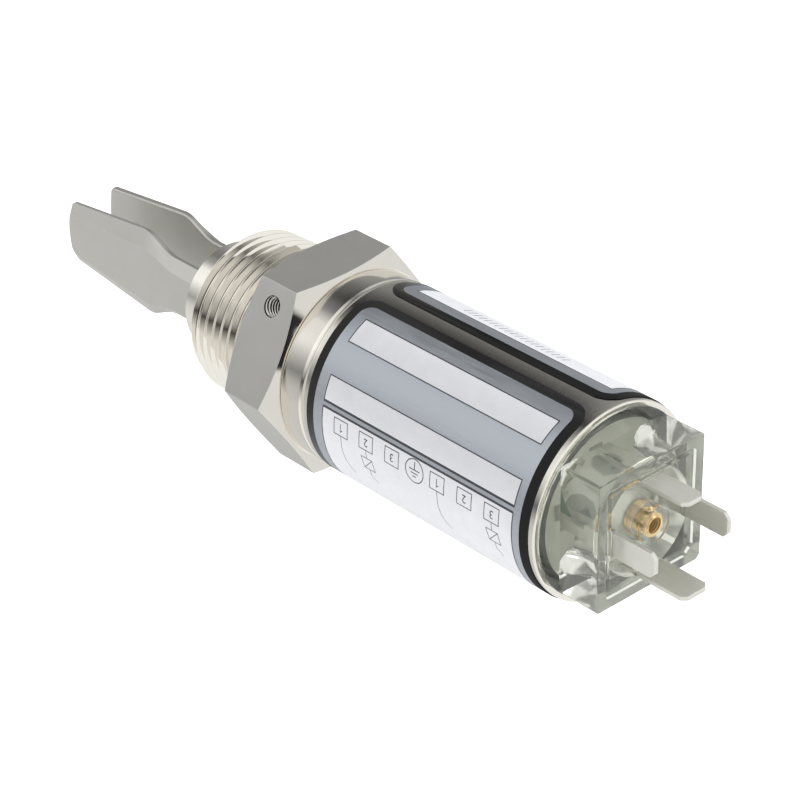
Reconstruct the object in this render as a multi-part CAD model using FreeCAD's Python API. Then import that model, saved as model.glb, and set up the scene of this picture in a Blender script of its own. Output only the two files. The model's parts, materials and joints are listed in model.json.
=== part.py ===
import FreeCAD, Part
import math
import os
from FreeCAD import Vector

# Tuning fork level switch, in millimetres.
# The origin is on the axis, on the face of the hexagon that faces the vessel.
# +Z runs along the housing to the plug, and the fork points down.
# The two tines stand apart along X, and the plug's square is in line with X and Y.

# Process thread: 1 inch taper pipe thread, 11 turns to the inch
thread_major = 33.249
thread_pitch = 2.309
thread_depth = 1.479
thread_taper = 1.0 / 32.0
thread_gauge_length = 10.391
thread_start = 8.6
thread_run_out = 2.0
thread_flat = 0.38
thread_neck_radius = 15.1

# Nose that the fork is welded into
nose_length = 25.35
nose_radius = 11.3
nose_land = 4.75
nose_edge = 0.4
weld_fit = 0.02

# Hexagon: its chamfers are turned, so each flat ends in a curve
hex_flats = 40.0
hex_height = 13.0
hex_chamfer_drop = 1.65
hex_face_radius = 19.3
hex_edge_radius = 0.4
hex_turn = 3.3

# Earthing screw hole in the middle of one flat's height: M4
earth_hole_core = 1.65
earth_hole_depth = 5.5
earth_hole_offset = -7.1
earth_hole_angle = 150.0
earth_hole_countersink = 0.45

# Stainless tube, rolled into a groove of the spigot
tube_radius = 19.0
tube_wall = 1.0
tube_length = 66.55
tube_start_gap = 0.05
tube_edge_radius = 0.35
tube_front_radius = 0.3
crimp_from_start = 5.85
crimp_depth = 0.22
crimp_width = 1.3
crimp_radius = 0.6

# Spigot of the process body, inside the tube
spigot_fit = 0.05
spigot_length = 13.6
spigot_bore = 14.6
spigot_chamfer = 0.6
cavity_sink = 4.0
stack_bore = 8.6
seal_section = 1.55
seal_fit = 0.02
seal_groove_width = 2.3
seal_groove_from_end = 2.5

# Wrap-round label
label_thickness = 0.15
label_from_start = 7.75
label_length = 57.35
label_start_angle = 99.6
label_end_angle = 449.4
label_corner = 4.0
label_glue = 0.05

# Fork: places along a tine are measured from the front of the nose
disc_radius = 9.6
disc_thickness = 3.2
tine_gap = 8.5
tine_root_thickness = 3.4
tine_tip_thickness = 2.3
tine_land = 1.2
tine_inner_edge = 0.7
tine_length = 45.2
tine_tip_crown = 0.9
tine_crown_radius = 15.0
tine_corner = 1.6
tine_tip_half = 6.5
tine_wide_half = 9.5
tine_wide_at = 18.4
tine_wide_radius = 6.0
tine_neck_half = 6.4
tine_neck_at = 11.6
tine_neck_radius = 9.0
tine_face_tip_inset = 0.5
tine_face_tip_half = 4.6
tine_face_wide_half = 6.3
tine_face_wide_at = 17.6
tine_face_neck_half = 4.2
tine_face_neck_at = 9.2
tine_root_depth = 0.4
tine_root_fillet = 0.8
stud_radius = 2.5
stud_chamfer = 0.4

# Piezo stack on the stud, from the disc upwards
stack_radius = 6.5
stack_fit = 0.05
insulator_thickness = 1.0
electrode_thickness = 0.3
electrode_radius = 6.0
tab_width = 1.6
tab_reach = 7.6
tab_length = 5.0
piezo_thickness = 2.2
pressure_washer_thickness = 2.0
spring_washer_radius = 5.7
spring_washer_thickness = 0.8
spring_washer_rise = 0.5
nut_flats = 8.0
nut_height = 4.0
nut_chamfer = 0.5
stud_proud = 1.2

# Clear plug housing
plug_side = 25.8
plug_height = 9.3
plug_corner = 0.8
plug_rim_radius = 0.3
plug_key_chamfer = 0.9
plug_inner_key = 1.9
plug_wall = 2.4
plug_top = 2.4
plug_flange_proud = 0.25
plug_fit = 0.1
plug_skirt_length = 12.0
plug_skirt_wall = 2.2
plug_step_depth = 1.4
plug_groove_inset = 2.1
plug_groove_width = 0.9
plug_groove_depth = 0.6
plug_seal_rise = 3.2
boss_radius = 3.6
boss_proud = 0.9
boss_length = 8.8

# Brass insert, M3
insert_radius = 2.25
insert_core = 1.25
insert_length = 6.4
insert_proud = 0.02
insert_groove = 0.3
insert_groove_width = 0.4
insert_groove_slope = 0.15
insert_grooves_at = (2.3, 3.8)
insert_lead_in = 0.3
insert_neck = 1.9
insert_neck_length = 0.6

# Plug contacts
contact_circle = 18.0
contact_thickness = 0.8
contact_wide = 6.3
contact_narrow = 4.8
contact_reach = 9.9
contact_earth_reach = 11.2
contact_tip_chamfer = 1.2
contact_edge_chamfer = 0.18
contact_edge_length = 0.35
contact_slot_fit = 0.02
contact_shoulder_depth = 5.3
contact_tail_width = 2.4
contact_tail_through = 1.2

# Board carrier and circuit boards
carrier_depth = 5.0
carrier_plate = 2.0
carrier_rail_half = 3.0
carrier_rail_grip = 2.2
carrier_rail_start = 1.6
carrier_fit = 0.1
carrier_window_x = 13.0
carrier_window_y = 10.0
carrier_slot_fit = 0.4
board_thickness = 1.6
board_fit = 0.1
main_board_edge = 1.2
main_board_start = 2.8
main_board_gap = 1.6
plug_board_gap = 0.3
plug_board_fit = 0.4
pin_hole_fit = 0.03

# Insulating sleeve round the electronics
sleeve_fit = 0.15
sleeve_wall = 0.6
sleeve_end_gap = 0.5

# Parts on the main board: each stands so far in from a rail, at a height above the board's lower edge
capacitor_radius = 4.0
capacitor_length = 15.0
capacitor_rail_gap = 1.7
capacitor_rise = 10.5
capacitor_bead_from_end = 2.6
capacitor_bead_width = 0.6
capacitor_bead_depth = 0.3
transistor_width = 10.0
transistor_body = 4.4
transistor_height = 9.0
transistor_rail_gap = 0.5
transistor_rises = (12.5, 23.0)
transistor_tab_height = 3.0
transistor_tab_thickness = 1.3
transistor_hole_radius = 1.1
chip_side = 7.5
chip_thickness = 2.0
chip_rail_gap = 3.4
chip_rise = 12.0
reed_radius = 1.1
reed_length = 13.0
reed_rise = 19.0
lamp_radius = 1.5
lamp_height = 4.2
lamp_flange = 0.4
lamp_flange_height = 0.8
lamp_place = (3.2, -2.6)
header_pins = 5
header_pitch = 2.54
header_strip = 2.5
header_pin = 0.64
header_pin_proud = 0.8

# Wires and inner earthing screw
lead_radius = 0.55
lead_bend = 3.0
lead_spread = 3.0
lead_straight = 4.5
lead_on_board = 2.6
earth_wire_radius = 0.8
earth_wire_bend = 5.0
earth_wire_x = 6.6
earth_wire_y = -6.2
earth_wire_rise = 8.0
earth_wire_turn = 3.4
earth_place = (0.0, -11.5)
earth_screw_radius = 1.5
earth_screw_head = 2.75
earth_screw_head_height = 1.8
earth_screw_slot = 0.8
earth_screw_slot_depth = 0.8
earth_screw_depth = 3.6
earth_screw_tip_gap = 0.4
earth_tag_radius = 2.9
earth_tag_fit = 0.1
earth_tag_thickness = 0.5
earth_tag_length = 6.4
earth_tag_width = 2.4

# Worked out from the values above
hex_corner_radius = hex_flats / math.sqrt(3.0)
tube_bore = tube_radius - tube_wall
tube_start = hex_height + tube_start_gap
tube_end = tube_start + tube_length
crimp_height = tube_start + crimp_from_start
label_low = tube_start + label_from_start
label_high = label_low + label_length
spigot_radius = tube_bore - spigot_fit
spigot_top = hex_height + spigot_length
cavity_floor = hex_height - cavity_sink
seal_outer = tube_bore - seal_fit
groove_radius = seal_outer - seal_section - seal_fit
body_seal_low = spigot_top - seal_groove_from_end - seal_groove_width
disc_top = disc_thickness - nose_length
tine_inner = tine_gap / 2.0
plug_radius = tube_bore - plug_fit
plug_bore = plug_radius - plug_skirt_wall
plug_skirt_low = tube_end - plug_skirt_length
plug_seal_low = plug_skirt_low + plug_seal_rise
plug_face = tube_end + plug_height
boss_face = plug_face + boss_proud
contact_shoulder = plug_face - contact_shoulder_depth
carrier_radius = plug_bore - carrier_fit
carrier_top = tube_end - carrier_depth
plate_low = carrier_top - carrier_plate
rail_low = spigot_top + carrier_rail_start
plug_board_top = plate_low - plug_board_gap
plug_board_low = plug_board_top - board_thickness
main_board_low = spigot_top + main_board_start
main_board_top = plug_board_low - main_board_gap
main_board_half = carrier_radius - main_board_edge
main_board_face = board_thickness / 2.0
rail_inner = main_board_half - carrier_rail_grip
header_row = main_board_face + header_strip / 2.0
sleeve_outer = tube_bore - sleeve_fit

parts = {}


def disc(radius, low, high, x=0.0, y=0.0):
    return Part.makeCylinder(radius, high - low, Vector(x, y, low))


def ring(outer, inner, low, high, x=0.0, y=0.0):
    return disc(outer, low, high, x, y).cut(disc(inner, low, high, x, y))


def block(x0, x1, y0, y1, z0, z1):
    return Part.makeBox(x1 - x0, y1 - y0, z1 - z0, Vector(x0, y0, z0))


def turned(points):
    """A solid turned about Z from (radius, height) points."""
    wire = Part.makePolygon([Vector(r, 0, z) for r, z in points + points[:1]])
    return Part.Face(wire).revolve(Vector(0, 0, 0), Vector(0, 0, 1), 360)


def turned_round(corners):
    """A solid turned about Z from (radius, height, corner radius) corners."""
    wire = rounded_wire(corners, lambda r, z: Vector(r, 0, z))
    return Part.Face(wire).revolve(Vector(0, 0, 0), Vector(0, 0, 1), 360)


def rounded_wire(corners, place):
    """A closed wire through corners (u, v, radius); place turns (u, v) into a point."""
    edges = []
    last_point = None
    for index, here in enumerate(corners):
        if here[2] == 0:
            start = end = here[:2]
        else:
            start, middle, end = corner_arc(corners[index - 1], here, corners[(index + 1) % len(corners)])
        if last_point is None:
            first_point = start
        else:
            edges.append(Part.makeLine(place(*last_point), place(*start)))
        if here[2] > 0:
            edges.append(Part.Arc(place(*start), place(*middle), place(*end)).toShape())
        last_point = end
    edges.append(Part.makeLine(place(*last_point), place(*first_point)))
    return Part.Wire(edges)


def corner_arc(before, here, after):
    """Start, middle and end of the arc that rounds a corner."""
    ax, ay = before[0] - here[0], before[1] - here[1]
    bx, by = after[0] - here[0], after[1] - here[1]
    la, lb = math.hypot(ax, ay), math.hypot(bx, by)
    ax, ay, bx, by = ax / la, ay / la, bx / lb, by / lb
    half = math.acos(max(-1.0, min(1.0, ax * bx + ay * by))) / 2.0
    reach = here[2] / math.tan(half)
    start = (here[0] + ax * reach, here[1] + ay * reach)
    end = (here[0] + bx * reach, here[1] + by * reach)
    mx, my = ax + bx, ay + by
    lm = math.hypot(mx, my)
    to_middle = here[2] / math.sin(half) - here[2]
    middle = (here[0] + mx / lm * to_middle, here[1] + my / lm * to_middle)
    return start, middle, end


def rounded_square(side, corner, key_chamfer, low, high):
    """An upright square block with round corners, one of them cut off as a key."""
    half = side / 2.0
    key = half - key_chamfer
    corners = [(half, half, corner), (-half, half, corner), (-half, -half, corner),
               (key, -half, corner / 2), (half, -key, corner / 2)]
    wire = rounded_wire(corners, lambda u, v: Vector(u, v, low))
    return Part.Face(wire).extrude(Vector(0, 0, high - low))


def hexagon(flats, low, high, turn=0.0):
    radius = flats / math.sqrt(3.0)
    angles = [math.radians(turn + 60 * k) for k in range(7)]
    points = [Vector(radius * math.cos(a), radius * math.sin(a), low) for a in angles]
    return Part.Face(Part.makePolygon(points)).extrude(Vector(0, 0, high - low))


# Process body: nose, taper thread, hexagon and spigot turned from one bar

def thread_radius(z):
    return thread_major / 2.0 + thread_taper * (z + nose_length - thread_gauge_length)


def thread_outline():
    """Points up the outside of the thread, from the root below its first crest."""
    half_flat = thread_flat / 2.0
    to_root = (thread_pitch - thread_flat) / 2.0
    points = []
    z = thread_start - nose_length
    while z < -thread_run_out:
        crest = thread_radius(z)
        root = crest - thread_depth
        points += [(root, z - to_root), (crest, z - half_flat), (crest, z + half_flat), (root, z + to_root)]
        z += thread_pitch
    return points


def make_process_body():
    front = -nose_length
    overlap = hex_height / 2.0
    outline = [(disc_radius, front), (nose_radius - nose_edge, front), (nose_radius, front + nose_edge),
               (nose_radius, front + nose_land)]
    outline += thread_outline()
    outline += [(thread_neck_radius, outline[-1][1]), (thread_neck_radius, overlap), (spigot_radius, overlap)]
    outline += [(spigot_radius, crimp_height - crimp_width / 2),
                (spigot_radius - crimp_depth, crimp_height - spigot_fit),
                (spigot_radius - crimp_depth, crimp_height + spigot_fit),
                (spigot_radius, crimp_height + crimp_width / 2),
                (spigot_radius, body_seal_low), (groove_radius, body_seal_low),
                (groove_radius, body_seal_low + seal_groove_width),
                (spigot_radius, body_seal_low + seal_groove_width)]
    outline += [(spigot_radius, spigot_top - spigot_chamfer), (spigot_radius - spigot_chamfer, spigot_top),
                (spigot_bore, spigot_top), (spigot_bore, cavity_floor), (stack_bore, cavity_floor),
                (stack_bore, disc_top + weld_fit), (disc_radius, disc_top + weld_fit)]
    body = turned(outline).fuse(make_hexagon()).cut(earth_hole())
    x, y = earth_place
    body = body.cut(disc(earth_screw_radius + weld_fit, cavity_floor - earth_screw_depth - earth_screw_tip_gap,
                         cavity_floor, x, y))
    return body.removeSplitter()


def make_hexagon():
    """The wrench hexagon as a ring round the spigot, with its corners turned off at both faces."""
    reach = hex_corner_radius + hex_chamfer_drop
    drop = hex_chamfer_drop * (reach - hex_face_radius) / (hex_corner_radius - hex_face_radius)
    inner = (stack_bore + thread_neck_radius) / 2.0
    turning = turned([(inner, 0), (hex_face_radius, 0), (reach, drop), (reach, hex_height - drop),
                      (hex_face_radius, hex_height), (spigot_bore, hex_height), (spigot_bore, cavity_floor),
                      (inner, cavity_floor)])
    prism = hexagon(hex_flats, 0, hex_height, hex_turn)
    upright = [edge for edge in prism.Edges if edge.BoundBox.ZLength > hex_height / 2]
    return prism.makeFillet(hex_edge_radius, upright).common(turning)


def earth_hole():
    """The blind hole for an outside earthing screw, square to its flat of the hexagon."""
    angle = math.radians(hex_turn + earth_hole_angle)
    normal = Vector(math.cos(angle), math.sin(angle), 0)
    along = Vector(-math.sin(angle), math.cos(angle), 0)
    mouth = normal * (hex_flats / 2) + along * earth_hole_offset + Vector(0, 0, hex_height / 2)
    sink = earth_hole_countersink
    bore = Part.makeCylinder(earth_hole_core, earth_hole_depth, mouth, -normal)
    tip = Part.makeCone(earth_hole_core, 0, earth_hole_core / 2, mouth - normal * earth_hole_depth, -normal)
    flare = Part.makeCone(earth_hole_core + sink, earth_hole_core, sink, mouth, -normal)
    return bore.fuse([tip, flare])


# Fork: two bevelled paddles on a disc, in one piece with the clamp stud

def paddle_wire(x_root, x_tip, tip, tip_half, wide_half, wide_at, neck_half, neck_at):
    """The outline of a tine in a plane from x_root to x_tip; places run down from the nose's front."""
    root = -tine_root_depth
    side = [(root, neck_half, 0), (neck_at, neck_half, tine_neck_radius),
            (wide_at, wide_half, tine_wide_radius), (tip - tine_tip_crown, tip_half, tine_corner)]
    other_side = [(u, -v, radius) for u, v, radius in reversed(side)]
    corners = side + [(tip, 0, tine_crown_radius)] + other_side
    lean = (x_tip - x_root) / tine_length
    return rounded_wire(corners, lambda u, v: Vector(x_root + lean * u, v, -nose_length - u))


def make_tine(side):
    """A paddle that gets thinner to its tip: round inner edges, a land, and a bevel up to its outer face."""
    sheet = (tine_length, tine_tip_half, tine_wide_half, tine_wide_at, tine_neck_half, tine_neck_at)
    face = (tine_length - tine_face_tip_inset, tine_face_tip_half, tine_face_wide_half, tine_face_wide_at,
            tine_face_neck_half, tine_face_neck_at)
    x_inner, x_land = side * tine_inner, side * (tine_inner + tine_land)
    x_root, x_tip = side * (tine_inner + tine_root_thickness), side * (tine_inner + tine_tip_thickness)
    blade = Part.Face(paddle_wire(x_inner, x_inner, *sheet)).extrude(Vector(side * tine_land, 0, 0))
    rim = [edge for edge in blade.Edges
           if all(abs(vertex.X - x_inner) < 1e-4 for vertex in edge.Vertexes)
           and not in_plane(edge, tine_root_depth - nose_length)]
    land = paddle_wire(x_land, x_land, *sheet)
    outer = paddle_wire(x_root, x_tip, *face)
    return blade.makeFillet(tine_inner_edge, rim).fuse(Part.makeLoft([land, outer], True, True))


def make_fork():
    front = -nose_length
    base = disc(disc_radius - weld_fit, front, disc_top)
    stud_top = stack_top() + nut_height + stud_proud
    stud = disc(stud_radius, disc_top, stud_top - stud_chamfer)
    stud_tip = Part.makeCone(stud_radius, stud_radius - stud_chamfer, stud_chamfer,
                             Vector(0, 0, stud_top - stud_chamfer))
    fork = base.fuse([make_tine(1), make_tine(-1), stud, stud_tip]).removeSplitter()
    roots = [edge for edge in fork.Edges if in_plane(edge, front) and edge.BoundBox.XLength < disc_radius]
    return fork.makeFillet(tine_root_fillet, roots)


def in_plane(edge, z):
    return all(abs(vertex.Z - z) < 1e-4 for vertex in edge.Vertexes)


# Piezo stack

def stack_levels():
    """Lowest and highest place of each flat layer on the stud, and the top of them all."""
    layers = [("front_insulator", insulator_thickness), ("drive_electrode", electrode_thickness),
              ("drive_piezo", piezo_thickness), ("common_electrode", electrode_thickness),
              ("sense_piezo", piezo_thickness), ("sense_electrode", electrode_thickness),
              ("rear_insulator", insulator_thickness), ("pressure_washer", pressure_washer_thickness)]
    z = disc_top
    levels = {}
    for name, thickness in layers:
        levels[name] = (z, z + thickness)
        z += thickness
    return levels, z


def stack_top():
    return stack_levels()[1] + spring_washer_thickness + spring_washer_rise


def electrode(low, high, angle):
    """A contact washer with a tab that turns up beside the stack."""
    half = tab_width / 2.0
    washer = disc(electrode_radius, low, high).fuse([
        block(0, tab_reach, -half, half, low, high),
        block(tab_reach - electrode_thickness, tab_reach, -half, half, low, low + tab_length)])
    washer = washer.cut(disc(stud_radius + stack_fit, low, high)).removeSplitter()
    washer.rotate(Vector(0, 0, 0), Vector(0, 0, 1), angle)
    return washer


electrode_angles = {"drive_electrode": 30.0, "common_electrode": 90.0, "sense_electrode": 150.0}


def make_stack():
    levels, top = stack_levels()
    bore = stud_radius + stack_fit
    for name, (low, high) in levels.items():
        if name in electrode_angles:
            parts[name] = electrode(low, high, electrode_angles[name])
        else:
            parts[name] = ring(stack_radius, bore, low, high)
    raised = top + spring_washer_rise
    parts["spring_washer"] = turned([(bore, raised), (spring_washer_radius, top),
                                     (spring_washer_radius, top + spring_washer_thickness),
                                     (bore, raised + spring_washer_thickness)])
    low, high = stack_top(), stack_top() + nut_height
    flat, corner = nut_flats / 2.0, nut_flats / math.sqrt(3.0)
    turning = turned([(0, low), (flat, low), (corner, low + nut_chamfer), (corner, high - nut_chamfer),
                      (flat, high), (0, high)])
    nut = hexagon(nut_flats, low, high).common(turning)
    parts["clamp_nut"] = nut.cut(disc(stud_radius + weld_fit, low, high))


# Tube and label

def make_tube():
    low, high = crimp_height - crimp_width / 2, crimp_height + crimp_width / 2
    soft = crimp_radius
    return turned_round([
        (tube_bore, tube_start, 0), (tube_radius, tube_start, tube_front_radius),
        (tube_radius, low, soft), (tube_radius - crimp_depth, crimp_height, soft), (tube_radius, high, soft),
        (tube_radius, tube_end, tube_edge_radius), (tube_bore, tube_end, 0),
        (tube_bore, high, soft), (tube_bore - crimp_depth, crimp_height, soft), (tube_bore, low, soft)])


def make_label():
    """A thin sheet round the tube, with round corners where its ends stop short of each other."""
    inner = tube_radius + label_glue
    outer = inner + label_thickness
    band = ring(outer, inner, label_low, label_high)
    middle = (label_start_angle + label_end_angle) / 2.0
    open_half = math.radians(360 - (label_end_angle - label_start_angle)) / 2.0
    reach = outer * math.sin(open_half)
    c = label_corner
    window = block(0, 2 * outer, -reach, reach, label_low, label_high)
    for y in (-reach - c, reach + c):
        for z in (label_low + c, label_high - c):
            y_edge = math.copysign(reach, y)
            z_edge = label_low if z < (label_low + label_high) / 2 else label_high
            corner = block(0, 2 * outer, min(y, y_edge), max(y, y_edge), min(z, z_edge), max(z, z_edge))
            window = window.fuse(corner.cut(Part.makeCylinder(c, 2 * outer, Vector(0, y, z), Vector(1, 0, 0))))
    window.rotate(Vector(0, 0, 0), Vector(0, 0, 1), middle + 180)
    return band.cut(window)


# Plug end

contacts = {
    "contact_1": (1, 0, contact_narrow, contact_reach),
    "contact_2": (-1, 0, contact_narrow, contact_reach),
    "contact_3": (0, 1, contact_narrow, contact_reach),
    "contact_earth": (0, -1, contact_wide, contact_earth_reach),
}


def contact_box(name, grow, low, high, width):
    """The room of one contact, or of its tail, grown by a clearance."""
    dx, dy, _, _ = contacts[name]
    cx, cy = dx * contact_circle / 2, dy * contact_circle / 2
    along = width / 2 + grow
    across = contact_thickness / 2 + grow
    hx, hy = (across, along) if dx else (along, across)
    return block(cx - hx, cx + hx, cy - hy, cy + hy, low, high)


def make_contact(name):
    """A flat blade with a chamfered tip, and a narrow tail down through the plug board."""
    dx, dy, width, reach = contacts[name]
    contact_tip = plug_face + reach
    tail_low = plug_board_low - contact_tail_through
    c = contact_tip_chamfer
    half, tail, t = width / 2.0, contact_tail_width / 2.0, contact_thickness / 2.0
    side = [(tail, tail_low), (tail, contact_shoulder), (half, contact_shoulder), (half, contact_tip - c),
            (half - c, contact_tip)]
    outline = side + [(-u, v) for u, v in reversed(side)]
    wire = Part.makePolygon([Vector(u, -t, v) for u, v in outline + outline[:1]])
    blade = Part.Face(wire).extrude(Vector(0, 2 * t, 0))
    slope_low = contact_tip - contact_edge_length
    edge = [(t, slope_low), (t - contact_edge_chamfer, contact_tip), (width, contact_tip), (width, slope_low)]
    for turn in (0, 180):
        wire = Part.makePolygon([Vector(-width, u, v) for u, v in edge + edge[:1]])
        bevel = Part.Face(wire).extrude(Vector(2 * width, 0, 0))
        bevel.rotate(Vector(0, 0, 0), Vector(0, 0, 1), turn)
        blade = blade.cut(bevel)
    if dx:
        blade.rotate(Vector(0, 0, 0), Vector(0, 0, 1), 90)
    blade.translate(Vector(dx * contact_circle / 2, dy * contact_circle / 2, 0))
    return blade


def make_plug_housing():
    """Clear moulding: a round skirt in the tube, and a square plug hollow from below."""
    step = tube_end - plug_step_depth
    shell = disc(plug_radius, plug_skirt_low, tube_end + plug_flange_proud)
    square = rounded_square(plug_side, plug_corner, plug_key_chamfer, step, plug_face)
    rim = [edge for edge in square.Edges if in_plane(edge, plug_face)]
    shell = shell.fuse(square.makeFillet(plug_rim_radius, rim))
    shell = shell.cut(disc(plug_bore, plug_skirt_low, step))
    cavity_side = plug_side - 2 * plug_wall
    shell = shell.cut(rounded_square(cavity_side, plug_corner, plug_inner_key, step, plug_face - plug_top))
    groove_side = plug_side - 2 * plug_groove_inset
    groove_low = plug_face - plug_groove_depth
    groove_inside = groove_side - 2 * plug_groove_width
    groove = rounded_square(groove_side, plug_corner, plug_inner_key, groove_low, plug_face)
    groove = groove.cut(rounded_square(groove_inside, plug_corner, plug_inner_key, groove_low, plug_face))
    shell = shell.cut(groove).fuse(disc(boss_radius, boss_face - boss_length, boss_face))
    neck_low = boss_face - insert_neck_length
    shell = shell.cut(disc(insert_radius + weld_fit, boss_face - insert_length, neck_low))
    shell = shell.cut(disc(insert_neck + weld_fit, neck_low, boss_face))
    for name, (_, _, width, _) in contacts.items():
        shell = shell.cut(contact_box(name, contact_slot_fit, contact_shoulder, plug_face, width))
    seal_groove = ring(tube_bore, groove_radius, plug_seal_low, plug_seal_low + seal_groove_width)
    return shell.cut(seal_groove).removeSplitter()


def make_insert():
    """Brass bush with two grooves and a neck that key it into the boss."""
    low, high = boss_face - insert_length, boss_face + insert_proud
    c, s = insert_lead_in, insert_groove_slope
    deep = insert_radius - insert_groove
    outline = [(insert_core, low), (insert_radius - c, low), (insert_radius, low + c)]
    for rise in insert_grooves_at:
        z = low + rise
        outline += [(insert_radius, z), (deep, z + s), (deep, z + s + insert_groove_width),
                    (insert_radius, z + 2 * s + insert_groove_width)]
    neck_low = boss_face - insert_neck_length
    outline += [(insert_radius, neck_low), (insert_neck, neck_low), (insert_neck, high),
                (insert_core + c, high), (insert_core, high - c)]
    return turned(outline)


def seal_ring(low):
    """A ring of round section between the bottom of its groove and the tube."""
    radius = seal_section / 2.0
    circle = Part.Circle(Vector(seal_outer - radius, 0, low + seal_groove_width / 2), Vector(0, 1, 0), radius)
    return Part.Face(Part.Wire(circle.toShape())).revolve(Vector(0, 0, 0), Vector(0, 0, 1), 360)


# Boards, carrier and sleeve

def rail_room(side, grow):
    """The room of one rail of the carrier, out to the carrier's round."""
    x0, x1 = sorted((side * (rail_inner - grow), side * carrier_radius))
    half = carrier_rail_half + grow
    return block(x0, x1, -half, half, rail_low, plate_low)


def make_carrier():
    plate = disc(carrier_radius, plate_low, carrier_top)
    x, y = carrier_window_x / 2.0, carrier_window_y / 2.0
    plate = plate.cut(block(-x, x, -y, y, plate_low, carrier_top))
    for name in contacts:
        plate = plate.cut(contact_box(name, carrier_slot_fit, plate_low, carrier_top, contact_tail_width))
    rim = disc(carrier_radius, rail_low, plate_low)
    rails = [rail_room(side, 0).common(rim) for side in (-1, 1)]
    slot_x, slot_y = main_board_half + board_fit, main_board_face + board_fit
    slot = block(-slot_x, slot_x, -slot_y, slot_y, rail_low, main_board_top + board_fit)
    return plate.fuse(rails).cut(slot).removeSplitter()


def make_plug_board():
    board = disc(plug_bore - plug_board_fit, plug_board_low, plug_board_top)
    for side in (-1, 1):
        board = board.cut(rail_room(side, board_fit))
    for name in contacts:
        board = board.cut(contact_box(name, pin_hole_fit, plug_board_low, plug_board_top, contact_tail_width))
    for x in header_positions():
        board = board.cut(disc(header_pin / 2 + pin_hole_fit, plug_board_low, plug_board_top, x, header_row))
    return board


def header_positions():
    return [(k - (header_pins - 1) / 2.0) * header_pitch for k in range(header_pins)]


def make_header():
    """Pin strip soldered to the main board, its pins up through the plug board."""
    half = header_pins * header_pitch / 2
    strip = block(-half, half, main_board_face, main_board_face + header_strip,
                  main_board_top - header_strip, main_board_top)
    pins = [disc(header_pin / 2, main_board_top, plug_board_top + header_pin_proud, x, header_row)
            for x in header_positions()]
    return strip.fuse(pins)


def make_main_board():
    return block(-main_board_half, main_board_half, -main_board_face, main_board_face,
                 main_board_low, main_board_top)


def make_capacitor():
    """An upright can that lies on the board, with the bead rolled in near its end."""
    x = capacitor_rail_gap + capacitor_radius - rail_inner
    y = main_board_face + capacitor_radius
    low = main_board_low + capacitor_rise - capacitor_length / 2
    high = low + capacitor_length
    bead_low = high - capacitor_bead_from_end
    bead = ring(capacitor_radius, capacitor_radius - capacitor_bead_depth, bead_low,
                bead_low + capacitor_bead_width, x, y)
    return disc(capacitor_radius, low, high, x, y).cut(bead)


def make_transistor(side, rise):
    """A flat power transistor: moulded body, and a metal tab with its hole."""
    half, y = transistor_width / 2.0, main_board_face
    x = side * (rail_inner - transistor_rail_gap - half)
    low = main_board_low + rise - transistor_height / 2
    high = low + transistor_height
    tab_low = high - transistor_tab_height
    body = block(x - half, x + half, y, y + transistor_body, low, tab_low)
    tab = block(x - half, x + half, y, y + transistor_tab_thickness, tab_low, high)
    hole = Part.makeCylinder(transistor_hole_radius, transistor_tab_thickness,
                             Vector(x, y, (tab_low + high) / 2), Vector(0, 1, 0))
    return body.fuse(tab).cut(hole).removeSplitter()


def make_chip():
    high_x = rail_inner - chip_rail_gap
    low = main_board_low + chip_rise - chip_side / 2
    return block(high_x - chip_side, high_x, -main_board_face - chip_thickness, -main_board_face,
                 low, low + chip_side)


def make_reed_switch():
    start = Vector(-reed_length / 2, -main_board_face - reed_radius, main_board_low + reed_rise)
    return Part.makeCylinder(reed_radius, reed_length, start, Vector(1, 0, 0))


def make_lamp():
    """A round lamp on the plug board, under the clear plug."""
    x, y = lamp_place
    low = plug_board_top
    dome_height = low + lamp_height - lamp_radius
    lamp = disc(lamp_radius + lamp_flange, low, low + lamp_flange_height, x, y)
    dome = Part.makeSphere(lamp_radius, Vector(x, y, dome_height))
    return lamp.fuse([disc(lamp_radius, low, dome_height, x, y), dome]).removeSplitter()


# Wires: straight runs joined by tangent arcs

def wire_along(points, radius, bend):
    edges = []
    start = Vector(*points[0])
    for index in range(1, len(points) - 1):
        before, here, after = (Vector(*points[index + k]) for k in (-1, 0, 1))
        a = (before - here).normalize()
        b = (after - here).normalize()
        half = a.getAngle(b) / 2
        reach = min(bend / math.tan(half), 0.45 * (before - here).Length, 0.45 * (after - here).Length)
        arc_radius = reach * math.tan(half)
        first, last = here + a * reach, here + b * reach
        middle = here + (a + b).normalize() * (arc_radius / math.sin(half) - arc_radius)
        edges.append(Part.LineSegment(start, first).toShape())
        edges.append(Part.Arc(first, middle, last).toShape())
        start = last
    edges.append(Part.LineSegment(start, Vector(*points[-1])).toShape())
    direction = Vector(*points[1]) - Vector(*points[0])
    section = Part.Wire(Part.Circle(Vector(*points[0]), direction, radius).toShape())
    return Part.Wire(edges).makePipeShell([section], True, True)


def make_leads():
    """Three leads from the electrodes' tabs to the lower edge of the main board."""
    levels = stack_levels()[0]
    out = tab_reach - electrode_thickness / 2
    board_y = main_board_face + lead_radius
    group = []
    for index, (name, angle) in enumerate(electrode_angles.items()):
        a = math.radians(angle)
        x, y = out * math.cos(a), out * math.sin(a)
        board_x = (1 - index) * lead_spread
        group.append(wire_along([(x, y, levels[name][0] + tab_length), (x, y, cavity_floor + lead_straight),
                                 (board_x, board_y, main_board_low - lead_straight),
                                 (board_x, board_y, main_board_low + lead_on_board)], lead_radius, lead_bend))
    return Part.makeCompound(group)


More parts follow.
